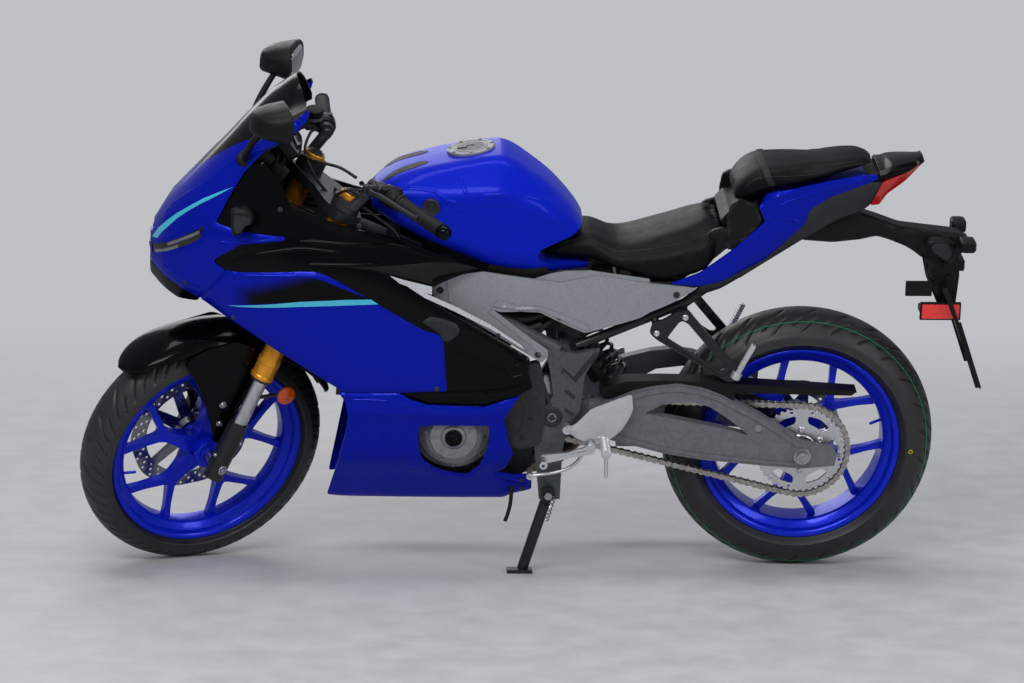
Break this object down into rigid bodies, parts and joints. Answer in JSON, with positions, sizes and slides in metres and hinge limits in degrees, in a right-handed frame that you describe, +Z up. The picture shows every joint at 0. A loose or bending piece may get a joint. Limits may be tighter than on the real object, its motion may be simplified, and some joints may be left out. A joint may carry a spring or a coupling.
{
  "type": "sport motorcycle",
  "caption": "Faired sport motorcycle on its side stand, with turning wheels, steering, chain drive, tank, seats, windscreen and lamps.",
  "frame": {"origin": "centre of the parked bike's bounding box, on the ground", "axes": "+Z up, -X is the way the bike faces, -Y is the bike's left, the side it leans to"},
  "size_m": [2.0552, 0.7704, 1.2166],
  "materials": {
    "body_blue": "gloss blue paint with cyan stripes",
    "tank_blue": "gloss blue paint",
    "cast_black": "satin black coating over cast alloy",
    "gloss_black": "gloss black",
    "matt_black": "matt black moulding",
    "frame_black": "satin black coating",
    "silver_cover": "grey paint",
    "wheel_blue": "gloss blue coating over cast alloy",
    "tyre": "rubber",
    "steel": "machined",
    "chain_steel": "oiled",
    "gold": "gold anodised",
    "chrome": "polished",
    "engine_grey": "dark casting",
    "alloy": "satin cast",
    "seat_black": "grained cover",
    "rubber_black": "ribbed",
    "smoke_screen": "smoked clear",
    "lamp_red": "red lens",
    "lamp_clear": "clear lens",
    "plate_white": "blank"
  },
  "bodies": {
    "root": {"drive_chain": "chain_steel", "rear_axle": "steel", "swingarm": "cast_black", "rear_shock": "steel", "main_frame": "frame_black", "engine_block": "engine_grey", "engine_covers": "engine_grey", "front_sprocket": "steel", "radiator": "engine_grey", "exhaust": "frame_black", "fuel_tank": "tank_blue", "fuel_cap": "matt_black", "rider_seat": "seat_black", "front_cowl": "body_blue", "nose_duct": "gloss_black", "headlamps": "lamp_clear", "side_fairings": "body_blue", "inner_panels": "gloss_black", "belly_cowl": "gloss_black", "frame_covers": "silver_cover", "windscreen": "smoke_screen", "tail_cowl": "body_blue", "tail_trim": "silver_cover", "tail_lamp": "lamp_red", "seat_hump": "matt_black", "pillion_seat": "seat_black", "subframe": "frame_black", "instrument_panel": "matt_black", "fairing_stay": "frame_black", "panel_brackets": "frame_black", "mirrors": "matt_black", "plate_hanger": "matt_black", "number_plate": "plate_white", "indicators": "matt_black", "chain_guard": "matt_black", "rider_footrests": "alloy", "foot_controls": "alloy", "pillion_footrests": "alloy", "rear_caliper": "cast_black"},
    "steering": {"fork_clamps": "cast_black", "fork_outer_tubes": "gold", "fork_inner_tubes": "chrome", "fork_feet": "cast_black", "front_axle": "steel", "front_fender": "gloss_black", "clip_ons": "cast_black", "grips": "rubber_black", "bar_controls": "matt_black", "front_caliper": "cast_black"},
    "front_wheel": {"front_tyre": "tyre", "front_rim": "wheel_blue", "front_disc": "steel"},
    "rear_wheel": {"rear_tyre": "tyre", "rear_rim": "wheel_blue", "rear_disc": "steel", "rear_sprocket": "steel"},
    "side_stand": {"side_stand": "frame_black"}
  },
  "joints": [
    {"name": "steering_turn", "type": "hinge", "parent": "root", "child": "steering", "pos_m": [-0.72667, 0.15674, 0.26598], "axis": [-0.4179, 0.1889, -0.8886], "range_deg": [0, 55.4]},
    {"name": "front_wheel_spin", "type": "hinge", "parent": "steering", "child": "front_wheel", "pos_m": [-0.75702, 0.13668, 0.27598], "axis": [0.4223, -0.8257, -0.3741], "continuous": true},
    {"name": "rear_wheel_spin", "type": "hinge", "parent": "root", "child": "rear_wheel", "pos_m": [0.61892, 0.14761, 0.30891], "axis": [0, -0.9781, -0.2079], "continuous": true},
    {"name": "side_stand_fold", "type": "hinge", "parent": "root", "child": "side_stand", "pos_m": [0.03939, 0.02176, 0.18913], "axis": [0.0161, -0.9828, -0.184], "range_deg": [0, 100]}
  ]
}
